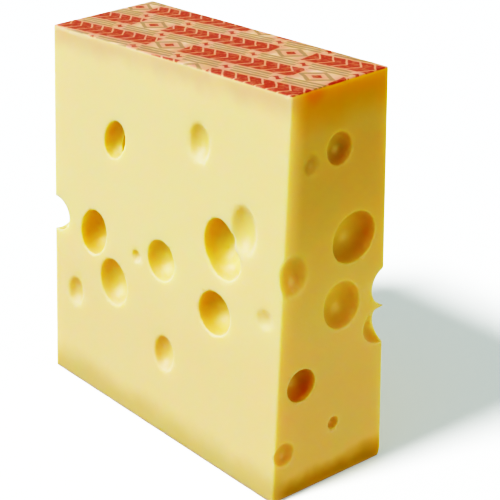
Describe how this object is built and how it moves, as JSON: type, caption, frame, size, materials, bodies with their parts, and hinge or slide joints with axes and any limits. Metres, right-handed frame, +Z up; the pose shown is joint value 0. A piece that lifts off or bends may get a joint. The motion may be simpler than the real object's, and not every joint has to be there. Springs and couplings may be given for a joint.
{
  "type": "emmental cheese block",
  "caption": "Tall hand-cut block of hard cheese from a wheel, rind above and below, with round eyes opened by every cut and bitten out of its edges.",
  "frame": {"origin": "centre of the bounding box's base, on the surface that the block stands on", "axes": "+Z up through the wheel's height, rind to rind; X along the block's length; Y through its thickness, with the broad cut that the picture shows facing -Y and the narrow one facing +X"},
  "size_m": [0.1937, 0.0798, 0.2133],
  "materials": {
    "cheese": "pale yellow semi-hard cheese, waxy satin cut faces, translucent at the edges; dry printed rind on top"
  },
  "bodies": {
    "root": {"cheese_block": "cheese"}
  },
  "joints": []
}
